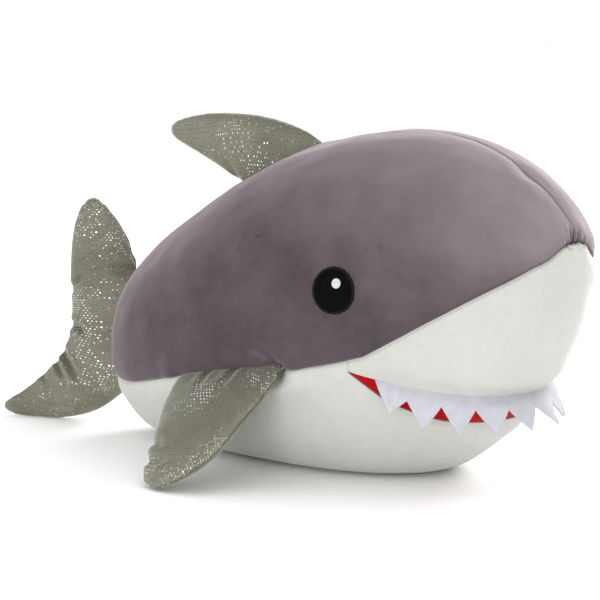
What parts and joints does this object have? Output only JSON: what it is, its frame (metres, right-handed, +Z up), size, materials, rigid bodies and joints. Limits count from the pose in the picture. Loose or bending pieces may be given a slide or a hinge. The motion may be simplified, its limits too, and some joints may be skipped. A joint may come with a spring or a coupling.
{
  "type": "plush shark",
  "caption": "Stuffed toy shark sewn from a grey back, white belly and muzzle, with felt teeth, embroidered eyes and stuffed glitter-print fins that flop and spring back.",
  "frame": {"origin": "on the flat underside of the belly, below the middle of the body, level with the surface the toy lies on", "axes": "+X towards the nose, +Y to the shark's left, +Z up"},
  "size_m": [0.6207, 0.416, 0.299],
  "materials": {
    "grey_plush": "warm grey short-pile plush with a soft sheen",
    "white_plush": "warm white short-pile plush",
    "glitter_plush": "olive grey short-pile plush printed with small silver foil dots",
    "red_felt": "flat red felt",
    "white_felt": "cool white felt",
    "black_felt": "black felt",
    "black_embroidery": "black satin stitch with a thread sheen",
    "white_embroidery": "white satin stitch",
    "seam_thread": "grey polyester sewing thread",
    "white_thread": "white polyester sewing thread",
    "fibre_filling": "loose white polyester fibre"
  },
  "bodies": {
    "torso": {"back_panel_right": "grey_plush", "back_panel_left": "grey_plush", "muzzle_panel": "white_plush", "belly_panel": "white_plush", "mouth_lining": "red_felt", "tooth_strip": "white_felt", "body_stuffing": "fibre_filling", "eye_patch_right": "black_felt", "eye_patch_left": "black_felt", "eye_border_right": "black_embroidery", "eye_border_left": "black_embroidery", "eye_highlight_right": "white_embroidery", "eye_highlight_left": "white_embroidery", "centre_seam_thread": "seam_thread", "side_seam_thread_right": "seam_thread", "side_seam_thread_left": "seam_thread", "upper_lip_thread": "white_thread", "lower_lip_thread": "white_thread"},
    "dorsal_fin": {"dorsal_panel_right": "glitter_plush", "dorsal_panel_left": "glitter_plush", "dorsal_stuffing": "fibre_filling", "dorsal_seam_thread": "seam_thread"},
    "pectoral_fin_right": {"pectoral_right_upper_panel": "glitter_plush", "pectoral_right_lower_panel": "glitter_plush", "pectoral_right_stuffing": "fibre_filling", "pectoral_right_seam_thread": "seam_thread"},
    "pectoral_fin_left": {"pectoral_left_upper_panel": "glitter_plush", "pectoral_left_lower_panel": "glitter_plush", "pectoral_left_stuffing": "fibre_filling", "pectoral_left_seam_thread": "seam_thread"},
    "tail_fin": {"tail_panel_right": "glitter_plush", "tail_panel_left": "glitter_plush", "tail_stuffing": "fibre_filling", "tail_seam_thread": "seam_thread"}
  },
  "joints": [
    {"name": "dorsal_fin_flop", "type": "hinge", "parent": "torso", "child": "dorsal_fin", "pos_m": [-0.067, 0, 0.2574], "axis": [0.9209, 0, 0.3898], "range_deg": [-35, 35], "stiffness_Nm_per_rad": 0.15},
    {"name": "pectoral_fin_right_flap", "type": "hinge", "parent": "torso", "child": "pectoral_fin_right", "pos_m": [-0.083, -0.128, 0.074], "axis": [-0.9786, 0.0513, -0.1994], "range_deg": [0, 60], "stiffness_Nm_per_rad": 0.2},
    {"name": "pectoral_fin_left_flap", "type": "hinge", "parent": "torso", "child": "pectoral_fin_left", "pos_m": [-0.083, 0.128, 0.074], "axis": [0.9786, 0.0513, 0.1994], "range_deg": [0, 60], "stiffness_Nm_per_rad": 0.2},
    {"name": "tail_fin_swing", "type": "hinge", "parent": "torso", "child": "tail_fin", "pos_m": [-0.242, 0, 0.087], "axis": [0, 0, 1], "range_deg": [-55, 15], "stiffness_Nm_per_rad": 0.3}
  ]
}
